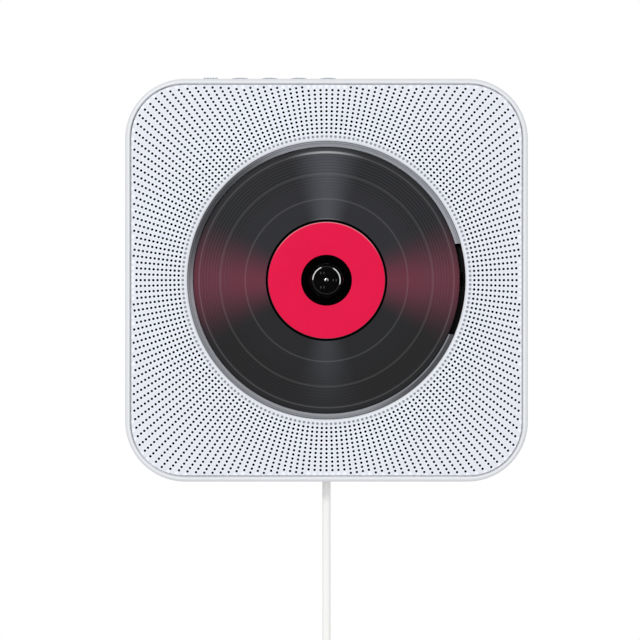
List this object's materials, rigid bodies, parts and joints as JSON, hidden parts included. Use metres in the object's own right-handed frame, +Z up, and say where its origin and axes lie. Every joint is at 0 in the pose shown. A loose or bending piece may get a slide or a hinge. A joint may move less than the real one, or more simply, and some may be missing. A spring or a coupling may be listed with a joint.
{
  "type": "wall mounted cd player",
  "caption": "Square white wall-hung disc player with a perforated front, an open round well, grey keys along the top and a thin lead that hangs down as its pull switch.",
  "frame": {"origin": "middle of the wall bracket's two screw holes, on the wall plane", "axes": "+X to the right as seen from the room, +Z up, +Y into the wall; the disc turns about the Y axis"},
  "size_m": [0.181, 0.0435, 0.4373],
  "materials": {
    "housing_white": "fine satin",
    "panel_white": "fine satin",
    "dust_cloth": "open weave",
    "tray_grey": "satin",
    "galvanised_steel": "galvanised",
    "screw_steel": "plated",
    "pad_rubber": "matte",
    "disc_surface": "mirror gloss",
    "label_red": "gloss print",
    "hub_black": "gloss",
    "platter_black": "satin",
    "ground_steel": "ground",
    "deck_black": "fine matte",
    "motor_steel": "plated",
    "gear_natural": "natural",
    "lens_black": "matte",
    "lens_glass": "clear",
    "diode_brass": "plated",
    "board_green": "solder mask",
    "chip_black": "moulded",
    "capacitor_aluminium": "sleeved",
    "basket_black": "black",
    "magnet_iron": "ground",
    "surround_rubber": "matte",
    "cone_paper": "pressed paper",
    "button_grey": "satin",
    "switch_steel": "plated",
    "switch_white": "moulded",
    "spring_steel": "drawn wire",
    "cord_white": "satin",
    "tie_white": "matte",
    "plug_white": "moulded",
    "shell_steel": "plated",
    "tongue_white": "moulded"
  },
  "bodies": {
    "bracket": {"wall_bracket": "galvanised_steel"},
    "player": {"front_shell": "housing_white", "grille_panel": "panel_white", "grille_scrim": "dust_cloth", "disc_tray": "tray_grey", "back_cover": "housing_white", "case_screws": "screw_steel", "wall_pads": "pad_rubber", "deck_plate": "deck_black", "deck_dampers": "pad_rubber", "damper_screws": "screw_steel", "spindle_motor": "motor_steel", "guide_rods": "ground_steel", "gear_pin": "ground_steel", "sled_motor": "motor_steel", "main_board": "board_green", "board_screws": "screw_steel", "board_chips": "chip_black", "board_capacitors": "capacitor_aluminium", "speaker_baskets": "basket_black", "speaker_magnets": "magnet_iron", "speaker_surrounds": "surround_rubber", "key_board": "board_green", "key_board_screws": "screw_steel", "tact_switches": "chip_black", "slide_switch": "switch_steel", "cord_grommet": "cord_white", "pull_switch_housing": "switch_white", "pull_spring": "spring_steel"},
    "turntable": {"turntable": "platter_black", "centring_hub": "hub_black", "spindle_shaft": "ground_steel"},
    "ball_1": {"chucking_ball_1": "ground_steel"},
    "ball_2": {"chucking_ball_2": "ground_steel"},
    "ball_3": {"chucking_ball_3": "ground_steel"},
    "disc": {"disc": "disc_surface", "disc_label": "label_red"},
    "pickup": {"pickup_sled": "deck_black", "sled_rack": "gear_natural", "laser_diode": "diode_brass"},
    "lens": {"lens_holder": "lens_black", "objective_lens": "lens_glass"},
    "drive_gear": {"drive_gear": "gear_natural"},
    "motor_pinion": {"motor_pinion": "gear_natural"},
    "stop_button": {"stop_button": "button_grey"},
    "play_button": {"play_button": "button_grey"},
    "previous_button": {"previous_button": "button_grey"},
    "next_button": {"next_button": "button_grey"},
    "mode_knob": {"mode_knob": "button_grey"},
    "pull_cord": {"pull_plunger": "switch_white", "cord_stub": "cord_white", "cord": "cord_white", "cord_hank": "cord_white", "cord_tie": "tie_white", "plug_body": "plug_white", "plug_shell": "shell_steel", "plug_tongue": "tongue_white"},
    "cone_left": {"speaker_cone_left": "cone_paper"},
    "cone_right": {"speaker_cone_right": "cone_paper"}
  },
  "joints": [
    {"name": "player_lift", "type": "slide", "parent": "bracket", "child": "player", "axis": [0, 0, 1], "range_m": [0, 0.007]},
    {"name": "turntable_spin", "type": "hinge", "parent": "player", "child": "turntable", "pos_m": [0, -0.0363, 0], "axis": [0, 1, 0], "continuous": true},
    {"name": "disc_lift", "type": "slide", "parent": "turntable", "child": "disc", "axis": [0, -1, 0], "range_m": [0, 0.02]},
    {"name": "ball_1_press", "type": "slide", "parent": "turntable", "child": "ball_1", "axis": [1, 0, 0], "range_m": [-0.0005, 0], "stiffness_N_per_m": 400, "springref_m": 0.0005},
    {"name": "ball_2_press", "type": "slide", "parent": "turntable", "child": "ball_2", "axis": [-0.5, 0, 0.866], "range_m": [-0.0005, 0], "stiffness_N_per_m": 400, "springref_m": 0.0005},
    {"name": "ball_3_press", "type": "slide", "parent": "turntable", "child": "ball_3", "axis": [-0.5, 0, -0.866], "range_m": [-0.0005, 0], "stiffness_N_per_m": 400, "springref_m": 0.0005},
    {"name": "pickup_slide", "type": "slide", "parent": "player", "child": "pickup", "axis": [1, 0, 0], "range_m": [0, 0.035]},
    {"name": "lens_focus", "type": "slide", "parent": "pickup", "child": "lens", "axis": [0, -1, 0], "range_m": [-0.0005, 0.0005], "stiffness_N_per_m": 40},
    {"name": "drive_gear_spin", "type": "hinge", "parent": "player", "child": "drive_gear", "pos_m": [0.042, -0.0226, 0.0225], "axis": [0, -1, 0], "range_deg": [-5, 580]},
    {"name": "pinion_spin", "type": "hinge", "parent": "player", "child": "motor_pinion", "pos_m": [0.03182, -0.0192, 0.03268], "axis": [0, -1, 0], "range_deg": [-2880, 20]},
    {"name": "stop_press", "type": "slide", "parent": "player", "child": "stop_button", "axis": [0, 0, -1], "range_m": [0, 0.0007], "stiffness_N_per_m": 800, "springref_m": -0.0005},
    {"name": "play_press", "type": "slide", "parent": "player", "child": "play_button", "axis": [0, 0, -1], "range_m": [0, 0.0007], "stiffness_N_per_m": 800, "springref_m": -0.0005},
    {"name": "previous_press", "type": "slide", "parent": "player", "child": "previous_button", "axis": [0, 0, -1], "range_m": [0, 0.0007], "stiffness_N_per_m": 800, "springref_m": -0.0005},
    {"name": "next_press", "type": "slide", "parent": "player", "child": "next_button", "axis": [0, 0, -1], "range_m": [0, 0.0007], "stiffness_N_per_m": 800, "springref_m": -0.0005},
    {"name": "mode_slide", "type": "slide", "parent": "player", "child": "mode_knob", "axis": [1, 0, 0], "range_m": [-0.0015, 0.0015]},
    {"name": "cord_pull", "type": "slide", "parent": "player", "child": "pull_cord", "axis": [0, 0, -1], "range_m": [0, 0.005], "stiffness_N_per_m": 300, "springref_m": -0.01, "deforming": ["pull_spring"]},
    {"name": "cone_left_travel", "type": "slide", "parent": "player", "child": "cone_left", "axis": [0, -1, 0], "range_m": [-0.0005, 0.0005], "stiffness_N_per_m": 1000},
    {"name": "cone_right_travel", "type": "slide", "parent": "player", "child": "cone_right", "axis": [0, -1, 0], "range_m": [-0.0005, 0.0005], "stiffness_N_per_m": 1000}
  ],
  "couplings": [
    {"joint": "drive_gear_spin", "follows": "pickup_slide", "rad_per_m": 285.71},
    {"joint": "pinion_spin", "follows": "pickup_slide", "rad_per_m": -1428.6}
  ]
}
